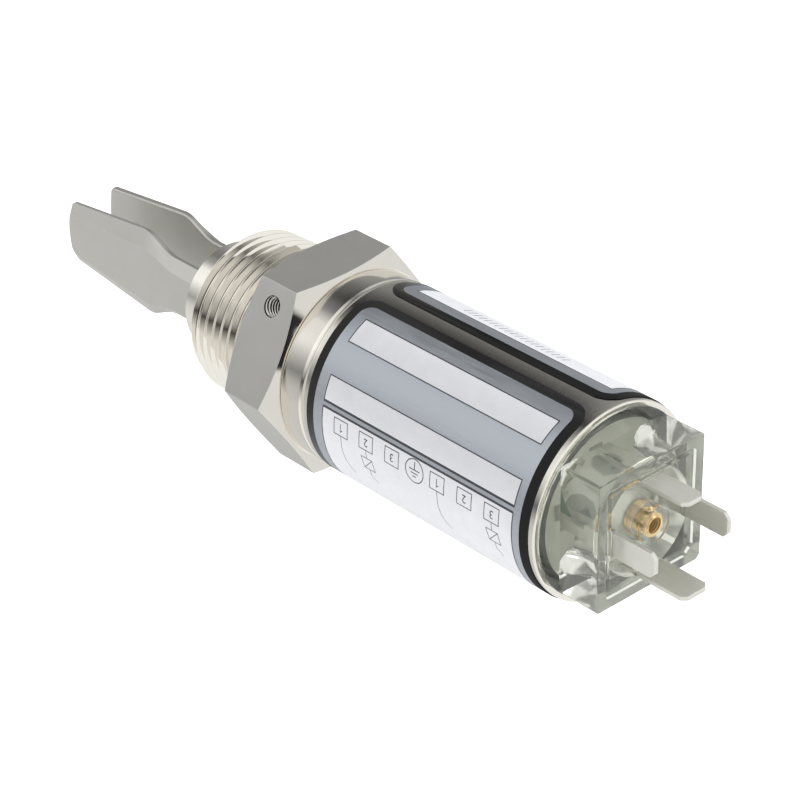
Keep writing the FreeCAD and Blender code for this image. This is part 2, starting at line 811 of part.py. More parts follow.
def make_earthing():
    """Screw and tag on the cavity floor, and the wire from the tag up to the plug board."""
    x, y = earth_place
    top = cavity_floor + earth_tag_thickness
    head_top = top + earth_screw_head_height
    half_slot, half_arm = earth_screw_slot / 2.0, earth_tag_width / 2.0
    screw = disc(earth_screw_radius, cavity_floor - earth_screw_depth, top, x, y)
    screw = screw.fuse(disc(earth_screw_head, top, head_top, x, y))
    slot = block(x - half_slot, x + half_slot, y - earth_screw_head, y + earth_screw_head,
                 head_top - earth_screw_slot_depth, head_top)
    parts["earth_screw"] = screw.cut(slot).removeSplitter()
    tag = disc(earth_tag_radius, cavity_floor, top, x, y)
    tag = tag.fuse(block(x, x + earth_tag_length, y - half_arm, y + half_arm, cavity_floor, top))
    tag = tag.cut(disc(earth_screw_radius + earth_tag_fit, cavity_floor, top, x, y))
    parts["earth_tag"] = tag.removeSplitter()
    wire_x = x + earth_tag_length - earth_wire_radius
    parts["earth_wire"] = wire_along([(wire_x, y, top), (wire_x, y, top + earth_wire_rise),
                                      (earth_wire_x, earth_wire_y, spigot_top + earth_wire_turn),
                                      (earth_wire_x, earth_wire_y, plug_board_low)],
                                     earth_wire_radius, earth_wire_bend)


def write_parts():
    os.makedirs("parts", exist_ok=True)
    for name, shape in parts.items():
        if not shape.isValid():
            print("not valid:", name)
        shape.exportStep("parts/%s.step" % name)
        box = shape.BoundBox
        print("%-20s solids %d volume %9.1f  x %.2f %.2f  y %.2f %.2f  z %.2f %.2f" % (
            name, len(shape.Solids), shape.Volume, box.XMin, box.XMax, box.YMin, box.YMax, box.ZMin, box.ZMax))


parts["process_body"] = make_process_body()
parts["fork"] = make_fork()
make_stack()
parts["housing_tube"] = make_tube()
parts["wrap_label"] = make_label()
parts["plug_housing"] = make_plug_housing()
parts["thread_insert"] = make_insert()
for contact in contacts:
    parts[contact] = make_contact(contact)
parts["body_seal"] = seal_ring(body_seal_low)
parts["plug_seal"] = seal_ring(plug_seal_low)
parts["board_carrier"] = make_carrier()
parts["insulating_sleeve"] = ring(sleeve_outer, sleeve_outer - sleeve_wall, spigot_top + sleeve_end_gap,
                                  plug_skirt_low - sleeve_end_gap)
parts["plug_board"] = make_plug_board()
parts["main_board"] = make_main_board()
parts["pin_header"] = make_header()
parts["capacitor"] = make_capacitor()
parts["power_transistors"] = Part.makeCompound([make_transistor(side, rise)
                                                for side, rise in zip((1, -1), transistor_rises)])
parts["controller_chip"] = make_chip()
parts["test_reed_switch"] = make_reed_switch()
parts["indicator_lamp"] = make_lamp()
parts["sensor_leads"] = make_leads()
make_earthing()
write_parts()
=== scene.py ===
import json
import math
import bpy
import bmesh
from mathutils import Matrix, Vector

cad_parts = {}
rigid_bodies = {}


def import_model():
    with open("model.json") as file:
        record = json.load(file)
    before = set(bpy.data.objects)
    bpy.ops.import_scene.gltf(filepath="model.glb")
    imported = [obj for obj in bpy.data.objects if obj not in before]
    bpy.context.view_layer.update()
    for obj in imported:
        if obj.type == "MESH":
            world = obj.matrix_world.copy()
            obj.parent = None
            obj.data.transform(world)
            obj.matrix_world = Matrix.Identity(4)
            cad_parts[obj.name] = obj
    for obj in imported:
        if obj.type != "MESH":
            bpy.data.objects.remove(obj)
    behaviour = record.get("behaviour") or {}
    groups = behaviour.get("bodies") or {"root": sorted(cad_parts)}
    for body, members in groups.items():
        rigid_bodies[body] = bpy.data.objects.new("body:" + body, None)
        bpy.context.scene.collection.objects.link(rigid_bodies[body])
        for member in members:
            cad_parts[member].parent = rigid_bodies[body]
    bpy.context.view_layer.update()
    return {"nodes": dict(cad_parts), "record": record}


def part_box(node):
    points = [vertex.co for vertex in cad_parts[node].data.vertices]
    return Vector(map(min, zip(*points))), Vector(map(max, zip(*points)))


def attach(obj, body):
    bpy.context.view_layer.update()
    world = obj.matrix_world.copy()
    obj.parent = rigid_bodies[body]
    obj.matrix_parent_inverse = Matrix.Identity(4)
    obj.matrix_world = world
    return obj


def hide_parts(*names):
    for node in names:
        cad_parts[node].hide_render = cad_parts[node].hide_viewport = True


# Tuning fork level switch: finishes, threads and print on the loaded frame. The frame is in metres, and the
# sizes of the pieces below are in millimetres.
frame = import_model()
cadNodes = frame["nodes"]
mounts = {mount["name"]: mount for mount in frame["record"]["mounts"]}
mm = 0.001
axisRadius = 0.001  # mm, how near to the axis the outline of a full turned solid starts
mergeDistance = 2e-7  # m, for the corners that triangles share
noiseRoughness = 0.55
scene = bpy.context.scene
scene.view_settings.view_transform = "Standard"
print("frame loaded:", len(cadNodes), "nodes")


# Small helpers for meshes and node trees

def addNode(tree, kind, links=None, **settings):
    made = tree.nodes.new(kind)
    for key, value in settings.items():
        setattr(made, key, value)
    for key, value in (links or {}).items():
        if isinstance(value, bpy.types.NodeSocket):
            tree.links.new(value, made.inputs[key])
        else:
            made.inputs[key].default_value = value
    return made


def addMath(tree, operation, *values):
    made = tree.nodes.new("ShaderNodeMath")
    made.operation = operation
    for index, value in enumerate(values):
        if isinstance(value, bpy.types.NodeSocket):
            tree.links.new(value, made.inputs[index])
        else:
            made.inputs[index].default_value = value
    return made.outputs[0]


def addObject(name, mesh, *materials):
    made = bpy.data.objects.new(name, mesh)
    scene.collection.objects.link(made)
    for material in materials:
        mesh.materials.append(material)
    return made


def meshFrom(bm, name, smooth=False):
    mesh = bpy.data.meshes.new(name)
    bm.to_mesh(mesh)
    bm.free()
    for polygon in mesh.polygons:
        polygon.use_smooth = smooth
    return mesh


def mergedCopy(nodeName, name):  # the frame's meshes are loose triangles, so a copy is merged first
    mesh = cadNodes[nodeName].data.copy()
    mesh.name = name
    bm = bmesh.new()
    bm.from_mesh(mesh)
    bmesh.ops.remove_doubles(bm, verts=bm.verts, dist=mergeDistance)
    bm.to_mesh(mesh)
    bm.free()
    for attribute in [a for a in mesh.attributes if a.name == "custom_normal"]:  # of the loose triangles
        mesh.attributes.remove(attribute)
    mesh.materials.clear()
    return addObject(name, mesh)


def turnedMesh(outline, name, steps=96):  # outline of (radius, height) in mm, turned about Z
    bm = bmesh.new()
    rings = []
    for step in range(steps):
        angle = 2 * math.pi * step / steps
        rings.append([bm.verts.new((r * math.cos(angle) * mm, r * math.sin(angle) * mm, z * mm))
                      for r, z in outline])
    count = len(outline)
    for here, there in zip(rings, rings[1:] + rings[:1]):
        for index in range(count):
            after = (index + 1) % count
            bm.faces.new((here[index], there[index], there[after], here[after]))
    bmesh.ops.recalc_face_normals(bm, faces=bm.faces)
    return meshFrom(bm, name, smooth=True)


def smoothByAngle(obj, degrees):
    mesh = obj.data
    for polygon in mesh.polygons:
        polygon.use_smooth = True
    mesh.set_sharp_from_angle(angle=math.radians(degrees))


def applyModifier(obj, modifier):
    graph = bpy.context.evaluated_depsgraph_get()
    mesh = bpy.data.meshes.new_from_object(obj.evaluated_get(graph))
    obj.modifiers.remove(modifier)
    obj.data = mesh


def combine(obj, other, operation="DIFFERENCE"):
    modifier = obj.modifiers.new("combine", "BOOLEAN")
    modifier.operation = operation
    modifier.solver = "EXACT"
    modifier.object = other
    applyModifier(obj, modifier)
    bpy.data.objects.remove(other)


def joined(obj, *others):
    with bpy.context.temp_override(active_object=obj, object=obj, selected_editable_objects=[obj, *others]):
        bpy.ops.object.join()
    return obj


# Finishes

def emptyMaterial(name):
    material = bpy.data.materials.new(name)
    material.use_nodes = True
    material.node_tree.nodes.clear()
    return material, material.node_tree


def newFinish(name, color, metallic, roughness, **sockets):
    material, tree = emptyMaterial(name)
    shader = addNode(tree, "ShaderNodeBsdfPrincipled", {"Base Color": (*color, 1), "Metallic": metallic,
                                                        "Roughness": roughness, **sockets})
    addNode(tree, "ShaderNodeOutputMaterial", {"Surface": shader.outputs[0]})
    material.diffuse_color = (*color, 1)
    return material, tree, shader


def objectNoise(tree, scale, stretch=(1, 1, 1), detail=3.0):
    place = addNode(tree, "ShaderNodeTexCoord").outputs["Object"]
    mapping = addNode(tree, "ShaderNodeMapping", {"Vector": place, "Scale": stretch})
    noise = addNode(tree, "ShaderNodeTexNoise", {"Vector": mapping.outputs[0], "Scale": scale,
                                                 "Detail": detail, "Roughness": noiseRoughness})
    return noise.outputs["Fac"]


def varyColor(tree, shader, factor, low, high):  # the colour goes from low to high with the factor
    mix = addNode(tree, "ShaderNodeMix", {"Factor": factor, 6: (*low, 1), 7: (*high, 1)}, data_type="RGBA")
    tree.links.new(mix.outputs[2], shader.inputs["Base Color"])


def varyRoughness(tree, shader, factor, low, high):
    spread = addNode(tree, "ShaderNodeMapRange", {"Value": factor, "To Min": low, "To Max": high})
    tree.links.new(spread.outputs[0], shader.inputs["Roughness"])


def addBump(tree, shader, height, distance, strength):
    bump = addNode(tree, "ShaderNodeBump", {"Height": height, "Distance": distance, "Strength": strength})
    tree.links.new(bump.outputs[0], shader.inputs["Normal"])


def scaled(color, factor):
    return tuple(min(channel * factor, 1.0) for channel in color)


# What each kind of finish looks like close up: the noise scale and stretch of its marks, the scale of its
# cloudy colour, the shares that colour and roughness vary between, and the bump's height in metres
finishKinds = {
    "turned": {"metallic": 1.0, "marks": 9000.0, "stretch": (0.004, 0.004, 1.0), "detail": 2.0,
               "cloud": 220.0, "tone": (0.96, 1.03), "gloss": (0.7, 1.4), "height": 2e-6, "bump": 0.15},
    "blasted": {"metallic": 1.0, "marks": 9000.0, "stretch": (1, 1, 1), "detail": 2.0,
                "cloud": 140.0, "tone": (0.95, 1.05), "gloss": (0.9, 1.12), "height": 6e-6, "bump": 0.5},
    "plated": {"metallic": 1.0, "marks": 1800.0, "stretch": (1.0, 1.0, 0.08), "detail": 3.0,
               "cloud": None, "tone": (0.9, 1.08), "gloss": (0.75, 1.3), "height": 3e-6, "bump": 0.3},
    "moulded": {"metallic": 0.0, "marks": 2500.0, "stretch": (1, 1, 1), "detail": 3.0,
                "cloud": None, "tone": (0.93, 1.07), "gloss": None, "height": 4e-6, "bump": 0.3},
}
clearKind = {"flow": 55.0, "detail": 1.0, "tone": 0.98, "height": 1.5e-3, "bump": 0.4, "pale": 0.86}


def makeFinish(kind, name, color, roughness, sockets=None, **changes):  # changes are to the kind's values
    k = {**finishKinds[kind], **changes}
    material, tree, shader = newFinish(name, color, k["metallic"], roughness, **(sockets or {}))
    marks = objectNoise(tree, k["marks"], k["stretch"], k["detail"])
    cloud = objectNoise(tree, k["cloud"]) if k["cloud"] else marks
    varyColor(tree, shader, cloud, *(scaled(color, share) for share in k["tone"]))
    if k["gloss"]:
        varyRoughness(tree, shader, marks, *(roughness * share for share in k["gloss"]))
    addBump(tree, shader, marks, k["height"], k["bump"])
    return material


def clearFinish(name, color, ior, roughness, haze):  # haze is the share of milky, light-scattering plastic
    k = clearKind
    glassy = {"Transmission Weight": 1.0, "IOR": ior}
    material, tree, shader = newFinish(name, color, 0.0, roughness, **glassy)
    flow = objectNoise(tree, k["flow"], detail=k["detail"])
    varyColor(tree, shader, flow, scaled(color, k["tone"]), color)
    addBump(tree, shader, flow, k["height"], k["bump"])
    pale = (*scaled(color, k["pale"]), 1)
    diffuse = addNode(tree, "ShaderNodeBsdfDiffuse", {"Color": pale}).outputs[0]
    through = addNode(tree, "ShaderNodeBsdfTranslucent", {"Color": pale}).outputs[0]
    milky = addNode(tree, "ShaderNodeMixShader", {"Fac": 0.5, 1: diffuse, 2: through}).outputs[0]
    mix = addNode(tree, "ShaderNodeMixShader", {"Fac": haze, 1: shader.outputs[0], 2: milky})
    tree.links.new(mix.outputs[0], tree.nodes["Material Output"].inputs["Surface"])
    return material


steel = {"turned": (0.80, 0.775, 0.715), "blasted": (0.63, 0.62, 0.585), "tube": (0.83, 0.80, 0.735)}
turnedSteel = makeFinish("turned", "turnedSteel", steel["turned"], 0.11)
threadSteel = makeFinish("turned", "threadSteel", scaled(steel["turned"], 1.06), 0.07)
coneSteel = makeFinish("turned", "coneSteel", scaled(steel["turned"], 0.86), 0.04)
hexSteel = makeFinish("blasted", "hexSteel", (0.545, 0.54, 0.515), 0.45, metallic=0.8)
blastedSteel = makeFinish("blasted", "blastedSteel", steel["blasted"], 0.47)
polishedTube = makeFinish("turned", "polishedTube", steel["tube"], 0.11, marks=5000.0, bump=0.3)
# painted shade: the thread in the earth hole is steel darker than the body's, for the shade in the hole
shadedHoleSteel = makeFinish("turned", "shadedHoleSteel", (0.52, 0.50, 0.47), 0.16)
# painted shade: the bored wall and bottom of the earth hole are near black, for the shade inside the hole
paintedHoleShade = makeFinish("turned", "paintedHoleShade", (0.05, 0.05, 0.047), 0.4)
tinPlate = makeFinish("plated", "tinPlate", (0.72, 0.71, 0.655), 0.36, metallic=0.65)
plainSteel = makeFinish("plated", "plainSteel", (0.62, 0.62, 0.61), 0.3)
stampedBrass = makeFinish("plated", "stampedBrass", (0.78, 0.62, 0.33), 0.3)
insertBrass = makeFinish("turned", "insertBrass", (0.90, 0.68, 0.36), 0.18, marks=12000.0)
# painted shade: the thread inside the insert's bore is a darker copy of the brass, for the shade in the bore
shadedBoreBrass = makeFinish("turned", "shadedBoreBrass", (0.46, 0.32, 0.15), 0.28, marks=12000.0)
clearPlastic = clearFinish("clearPlastic", (0.945, 0.96, 0.895), 1.50, 0.07, 0.11)
reedGlass = clearFinish("reedGlass", (0.90, 0.96, 0.92), 1.47, 0.01, 0.02)
whiteCeramic = makeFinish("moulded", "whiteCeramic", (0.86, 0.85, 0.81), 0.35)
piezoCeramic = makeFinish("moulded", "piezoCeramic", (0.55, 0.50, 0.40), 0.45)
sealRubber = makeFinish("moulded", "sealRubber", (0.03, 0.03, 0.03), 0.55)
carrierPlastic = makeFinish("moulded", "carrierPlastic", (0.70, 0.72, 0.67), 0.42)
sleeveFilm = makeFinish("moulded", "sleeveFilm", (0.78, 0.77, 0.70), 0.38)
solderMask = makeFinish("moulded", "solderMask", (0.06, 0.19, 0.11), 0.28, marks=900.0)
blackPlastic = makeFinish("moulded", "blackPlastic", (0.03, 0.03, 0.032), 0.42)
capacitorSleeve = makeFinish("moulded", "capacitorSleeve", (0.05, 0.07, 0.16), 0.3)
lampLens = makeFinish("moulded", "lampLens", (0.76, 0.74, 0.66), 0.12, {"Transmission Weight": 0.4})
leadSleeve = makeFinish("moulded", "leadSleeve", (0.72, 0.72, 0.70), 0.45)
earthSleeve = makeFinish("moulded", "earthSleeve", (0.30, 0.50, 0.10), 0.45)

finishOfSlot = {
    "turned_stainless": turnedSteel, "blasted_stainless": blastedSteel, "insulator_ceramic": whiteCeramic,
    "electrode_brass": stampedBrass, "piezo_ceramic": piezoCeramic, "plain_steel": plainSteel,
    "polished_tube": polishedTube, "clear_plastic": clearPlastic, "insert_brass": insertBrass,
    "tinned_contact": tinPlate, "seal_rubber": sealRubber, "carrier_plastic": carrierPlastic,
    "sleeve_film": sleeveFilm, "circuit_board": solderMask, "black_plastic": blackPlastic,
    "capacitor_can": capacitorSleeve, "reed_glass": reedGlass, "lamp_lens": lampLens,
    "lead_sleeving": leadSleeve, "earth_sleeving": earthSleeve,
}
slotOfNode = {row["node"]: row["material_slot"] for row in frame["record"]["subparts"]}
for nodeName, obj in cadNodes.items():
    finish = finishOfSlot.get(slotOfNode[nodeName])
    if finish:  # the label's film has none here, because makeLabel brings its own
        for slot in obj.material_slots:
            slot.material = finish
print("finishes set")


# Threads: one Geometry Nodes tree winds a flat-topped ridge round Z, which thins out at both ends. The
# thinnest place is a share of the full section, and the rounding a share of the crest's width.

threadSizes = {"thinnest": 0.02, "rounding": 0.45, "smoothAngle": 12}


def buildThreadTree():
    tree = bpy.data.node_groups.new("woundThread", "GeometryNodeTree")
    face = tree.interface
    for name in ("Turns", "Start Radius", "End Radius", "Height", "Base Width", "Crest Width", "Depth",
                 "Side", "Rounding", "Fade In Turns", "Fade Out Turns"):
        face.new_socket(name=name, in_out="INPUT", socket_type="NodeSocketFloat")
    face.new_socket(name="Steps", in_out="INPUT", socket_type="NodeSocketInt")
    face.new_socket(name="Material", in_out="INPUT", socket_type="NodeSocketMaterial")
    face.new_socket(name="Geometry", in_out="OUTPUT", socket_type="NodeSocketGeometry")
    given = addNode(tree, "NodeGroupInput").outputs
    path = addNode(tree, "GeometryNodeCurveSpiral", {
        "Resolution": given["Steps"], "Rotations": given["Turns"], "Start Radius": given["Start Radius"],
        "End Radius": given["End Radius"], "Height": given["Height"]})
    upright = addNode(tree, "GeometryNodeSetCurveNormal", {"Curve": path.outputs[0]}, mode="Z_UP")
    along = addNode(tree, "GeometryNodeSplineParameter").outputs["Factor"]
    done = addMath(tree, "MULTIPLY", along, given["Turns"])
    left = addMath(tree, "SUBTRACT", given["Turns"], done)
    rise = addMath(tree, "DIVIDE", done, given["Fade In Turns"])
    fall = addMath(tree, "DIVIDE", left, given["Fade Out Turns"])
    full = addMath(tree, "MINIMUM", addMath(tree, "MINIMUM", rise, fall), 1.0)
    size = addMath(tree, "MAXIMUM", full, threadSizes["thinnest"])
    section = addNode(tree, "GeometryNodeCurvePrimitiveQuadrilateral", {
        "Bottom Width": given["Base Width"], "Top Width": given["Crest Width"], "Offset": 0.0,
        "Height": given["Depth"]}, mode="TRAPEZOID")
    halfUp = addNode(tree, "ShaderNodeCombineXYZ", {"Y": addMath(tree, "MULTIPLY", given["Depth"], 0.5)})
    rounded = addNode(tree, "GeometryNodeFilletCurve", {"Curve": section.outputs[0], "Count": 2,
                                                        "Radius": given["Rounding"]}, mode="POLY")
    lifted = addNode(tree, "GeometryNodeTransform", {"Geometry": rounded.outputs[0],
                                                     "Translation": halfUp.outputs[0]})
    outward = addNode(tree, "ShaderNodeCombineXYZ", {"Z": addMath(tree, "MULTIPLY", given["Side"],
                                                                  math.radians(90))})
    turned = addNode(tree, "GeometryNodeTransform", {"Geometry": lifted.outputs[0],
                                                     "Rotation": outward.outputs[0]})
    ridge = addNode(tree, "GeometryNodeCurveToMesh", {
        "Curve": upright.outputs[0], "Profile Curve": turned.outputs[0], "Scale": size, "Fill Caps": True})
    painted = addNode(tree, "GeometryNodeSetMaterial", {"Geometry": ridge.outputs[0],
                                                        "Material": given["Material"]})
    addNode(tree, "NodeGroupOutput", {"Geometry": painted.outputs[0]})
    return tree


def grownFrom(tree, name, **inputs):  # runs a tree and keeps its result as a plain mesh
    holder = addObject(name, bpy.data.meshes.new(name))
    modifier = holder.modifiers.new(tree.name, "NODES")
    modifier.node_group = tree
    for item in tree.interface.items_tree:
        if item.in_out == "INPUT" and item.name.replace(" ", "") in inputs:
            modifier[item.identifier] = inputs[item.name.replace(" ", "")]
    applyModifier(holder, modifier)
    return holder


threadTree = buildThreadTree()


def woundThread(name, finish, turns, pitch, radii, base, crest, depth, fades, steps):  # depth < 0 is inward
    ridge = grownFrom(threadTree, name, Turns=turns, StartRadius=radii[0] * mm,
                      EndRadius=radii[1] * mm, Height=turns * pitch * mm, BaseWidth=base * mm,
                      CrestWidth=crest * mm, Depth=abs(depth) * mm, Side=math.copysign(1.0, depth),
                      Rounding=crest * threadSizes["rounding"] * mm, FadeInTurns=fades[0],
                      FadeOutTurns=fades[1], Steps=steps, Material=finish)
    smoothByAngle(ridge, threadSizes["smoothAngle"])
    return ridge


# Process body: the frame's ridges are cut off and a true wound thread goes on. Faces past the outside radius
# are the hexagon's, and a slope is the upward part of a face's normal.

bodySizes = {
    "pitch": 2.309, "major": 33.249, "depth": 1.479, "taper": 1 / 32, "crest": 0.13, "flankAngle": 27.5,
    "noseLength": 25.35, "gaugeLength": 10.391, "firstCrest": 8.6, "crests": 7,
    "undercut": 0.02, "sunk": 0.06, "leadIn": 0.55, "runOut": 0.45, "crestAngle": 140.0, "steps": 128,
    "cutterSteps": 192,
    "flats": 40.0, "hexagonTop": 13.0, "outside": 18.5, "coneLow": 9.0, "coneSlopes": (0.3, 0.97),
    "flatSlope": 0.2, "smoothAngle": 22, "shadeFrom": 1.15, "shadeTo": 1.5, "darkest": 0.08,
}
earthHole = {  # fades are in turns, base is a share of the pitch, and reach is how near a bored face lies
    "radius": 2.0, "core": 1.65, "pitch": 0.7, "depth": 5.0, "mouth": 0.08, "turns": 6.4, "base": 0.75,
    "crest": 0.1, "fades": (0.4, 0.3), "start": 0.25, "sunk": 0.02, "reach": 0.05, "deepest": 6.0,
    "steps": 48, "drillSteps": 64,
}
bodyFinishes = (turnedSteel, hexSteel, paintedHoleShade, coneSteel)


def crestRadius(z):
    s = bodySizes
    return s["major"] / 2 + s["taper"] * (z + s["noseLength"] - s["gaugeLength"])


def paintRootShade(material):  # painted shade, darker towards the roots where little light reaches between the ridges
    s = bodySizes
    tree = material.node_tree
    place = addNode(tree, "ShaderNodeTexCoord").outputs["Object"]
    split = addNode(tree, "ShaderNodeSeparateXYZ", {"Vector": place}).outputs
    flat = addNode(tree, "ShaderNodeCombineXYZ", {"X": split["X"], "Y": split["Y"]})
    radius = addNode(tree, "ShaderNodeVectorMath", {0: flat.outputs[0]}, operation="LENGTH").outputs["Value"]
    crest = addMath(tree, "MULTIPLY_ADD", split["Z"], s["taper"], crestRadius(0) * mm)
    depth = addMath(tree, "SUBTRACT", crest, radius)
    dark = addNode(tree, "ShaderNodeMapRange", {
        "Value": depth, "From Min": s["shadeFrom"] * mm, "From Max": s["shadeTo"] * mm,
        "To Min": 1.0, "To Max": s["darkest"]}, interpolation_type="SMOOTHSTEP")
    shader = tree.nodes["Principled BSDF"]
    before = shader.inputs["Base Color"].links[0].from_socket
    mix = addNode(tree, "ShaderNodeMix", {"Factor": 1.0, 6: before, 7: dark.outputs[0]}, data_type="RGBA",
                  blend_type="MULTIPLY")
    tree.links.new(mix.outputs[2], shader.inputs["Base Color"])


def makeProcessBody():
    s, h = bodySizes, earthHole
    body = mergedCopy("process_body", "processBody")
    for finish in bodyFinishes:
        body.data.materials.append(finish)
    first = s["firstCrest"] - s["noseLength"]
    last = first + (s["crests"] - 1) * s["pitch"]
    toRoot = (s["pitch"] - s["crest"]) / 2
    low, high = first - toRoot, last + toRoot
    inner = [(crestRadius(z) - s["depth"] - s["undercut"], z) for z in (low, high)]
    ring = turnedMesh([inner[0], (s["flats"] / 2, low), (s["flats"] / 2, high), inner[1]], "ridgeCutter",
                      s["cutterSteps"])
    combine(body, addObject("ridgeCutter", ring))
    hole = mounts["earth_screw_hole"]
    outward = Vector(hole["axis"])
    mouth = Vector(hole["pos_m"]) + outward * (s["flats"] / 2 * mm - Vector(hole["pos_m"]).dot(outward))
    toHole = Matrix.Translation(mouth) @ (-outward).to_track_quat("Z", "Y").to_matrix().to_4x4()
    drill = turnedMesh([(axisRadius, h["mouth"]), (h["radius"], h["mouth"]), (h["radius"], h["depth"]),
                        (axisRadius, h["depth"])], "drill", h["drillSteps"])
    drill.transform(toHole)
    combine(body, addObject("drill", drill))
    inHole = toHole.inverted()
    for polygon in body.data.polygons:
        x, y, z = (v / mm for v in polygon.center)
        across, along, deep = (v / mm for v in inHole @ polygon.center)
        slope = polygon.normal.z
        outer = math.hypot(x, y) > s["outside"]
        bored = math.hypot(across, along) < h["radius"] + h["reach"] and h["reach"] < deep < h["deepest"]
        flat = outer and 0 < z < s["hexagonTop"] and abs(slope) < s["flatSlope"]
        cone = outer and z > s["coneLow"] and s["coneSlopes"][0] < slope < s["coneSlopes"][1]
        # the bored faces of the earth hole take the painted shade
        finish = paintedHoleShade if bored else hexSteel if flat else coneSteel if cone else turnedSteel
        polygon.material_index = bodyFinishes.index(finish)
    smoothByAngle(body, s["smoothAngle"])
    turns = (s["crests"] - 1) + s["leadIn"] + s["runOut"]
    start = first - s["leadIn"] * s["pitch"]
    end = start + turns * s["pitch"]
    root = [crestRadius(z) - s["depth"] - s["sunk"] for z in (start, end)]
    height = s["depth"] + s["sunk"]
    base = s["crest"] + 2 * height * math.tan(math.radians(s["flankAngle"]))
    ridge = woundThread("processThread", threadSteel, turns, s["pitch"], root, base, s["crest"], height,
                        (s["leadIn"], s["runOut"]), s["steps"])
    startTurn = math.radians(s["crestAngle"] - 360 * s["leadIn"])
    ridge.data.transform(Matrix.Translation((0, 0, start * mm)) @ Matrix.Rotation(startTurn, 4, "Z"))
    wall = h["radius"] + h["sunk"]
    inside = woundThread("earthHoleThread", shadedHoleSteel, h["turns"], h["pitch"], (wall, wall),
                         h["pitch"] * h["base"], h["crest"], h["core"] - wall, h["fades"], h["steps"])
    inside.data.transform(toHole @ Matrix.Translation((0, 0, h["start"] * mm)))
    body = joined(body, ridge, inside)
    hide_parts("process_body")
    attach(body, "root")
    print("process body:", len(body.data.polygons), "faces")


# painted shade at the roots of the process thread
paintRootShade(threadSteel)
makeProcessBody()


# Brass insert: M3 inside, and a coarse rolled thread outside that shows through the clear boss

insertSizes = {"outer": 2.25, "core": 1.98, "neck": 1.76, "neckLength": 0.6, "rimFoot": 0.35, "rimTop": 0.25,
               "bore": 1.5, "leadIn": 0.12, "threadStart": 0.3, "smoothAngle": 30}
insertThreads = (  # plain is the length of the bush without thread, gap the width of a root, fade is in turns
    {"name": "insertBoreThread", "finish": shadedBoreBrass, "root": 1.52, "tip": 1.25, "pitch": 0.5, "plain": 0.6,
     "gap": 0.02, "crest": 0.08, "fade": 0.4, "steps": 48},
    {"name": "insertOuterThread", "finish": insertBrass, "root": 1.96, "tip": 2.25, "pitch": 0.62,
     "plain": 1.5, "gap": 0.06, "crest": 0.12, "fade": 0.5, "steps": 64},
)


def makeInsert():
    s = insertSizes
    low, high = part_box("thread_insert")
    bottom, top = low[2] / mm, high[2] / mm
    lead = s["leadIn"]
    shoulder = top - s["neckLength"]
    outline = [(s["bore"], bottom), (s["core"], bottom), (s["core"], shoulder - s["rimFoot"]),
               (s["outer"], shoulder - s["rimTop"]), (s["outer"], shoulder), (s["neck"], shoulder),
               (s["neck"], top), (s["bore"] + lead, top), (s["bore"], top - lead)]
    bush = addObject("threadInsert", turnedMesh(outline, "threadInsert"), insertBrass)
    smoothByAngle(bush, s["smoothAngle"])
    ridges = []
    for t in insertThreads:
        turns = (top - bottom - t["plain"]) / t["pitch"]
        ridge = woundThread(t["name"], t["finish"], turns, t["pitch"], (t["root"], t["root"]),
                            t["pitch"] - t["gap"], t["crest"], t["tip"] - t["root"], (t["fade"], t["fade"]),
                            t["steps"])
        ridge.data.transform(Matrix.Translation((0, 0, (bottom + s["threadStart"]) * mm)))
        ridges.append(ridge)
    bush = joined(bush, *ridges)
    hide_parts("thread_insert")
    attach(bush, "root")
    print("insert:", len(bush.data.polygons), "faces")


makeInsert()


# Clear plug: the moulding closes round the insert, so no air gap hides the brass, and its hollow is round

plugSizes = {"fillHalf": 10.9, "fillLow": 78.23, "fillHigh": 86.7, "hollow": 10.4, "past": 0.5,
             "flare": 4.4, "flareHeight": 6.2, "flareDrop": 0.1, "flareSteps": 16, "hollowSteps": 128,
             "near": 0.1, "bite": {"core": 0.03, "neck": 0.02}, "smoothAngle": 30}


def makeCornerFill():  # the plastic between the square moulding and its round, flared hollow
    s = plugSizes
    bm = bmesh.new()
    half, low, high = s["fillHalf"] * mm, s["fillLow"] * mm, s["fillHigh"] * mm
    bmesh.ops.create_cube(bm, size=2.0)
    for vertex in bm.verts:
        x, y, z = vertex.co
        vertex.co = (x * half, y * half, high if z > 0 else low)
    fill = addObject("cornerFill", meshFrom(bm, "cornerFill"), clearPlastic)
    below, above = s["fillLow"] - s["past"], s["fillHigh"] + s["past"]
    outline = [(axisRadius, below), (s["hollow"] + s["flare"], below)]
    for i in range(s["flareSteps"] + 1):
        share = 1 - i / s["flareSteps"]
        outline.append((s["hollow"] + s["flare"] * (1 - math.sqrt(1 - share * share)),
                        s["fillLow"] - s["flareDrop"] + s["flareHeight"] * (1 - share)))
    outline += [(s["hollow"], above), (axisRadius, above)]
    combine(fill, addObject("hollow", turnedMesh(outline, "hollow", s["hollowSteps"])))
    return fill


def makePlugHousing():
    s, near = insertSizes, plugSizes["near"]
    plug = mergedCopy("plug_housing", "plugHousing")
    plug.data.materials.append(clearPlastic)
    combine(plug, makeCornerFill(), "UNION")
    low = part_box("thread_insert")[0][2] - near * mm
    for vertex in plug.data.vertices:  # the bore round the insert closes on its core and neck
        radius = math.hypot(vertex.co.x, vertex.co.y) / mm
        if radius < s["outer"] + near and vertex.co.z > low:
            touched = "core" if radius > s["outer"] - near else "neck"
            wanted = s[touched] - plugSizes["bite"][touched]
            vertex.co.x *= wanted / radius
            vertex.co.y *= wanted / radius
    smoothByAngle(plug, plugSizes["smoothAngle"])
    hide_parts("plug_housing")
    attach(plug, "root")
    print("plug:", len(plug.data.polygons), "faces")


makePlugHousing()


# Printed label: thin layers bent round the tube. A place on it is (angle in degrees, height in mm).

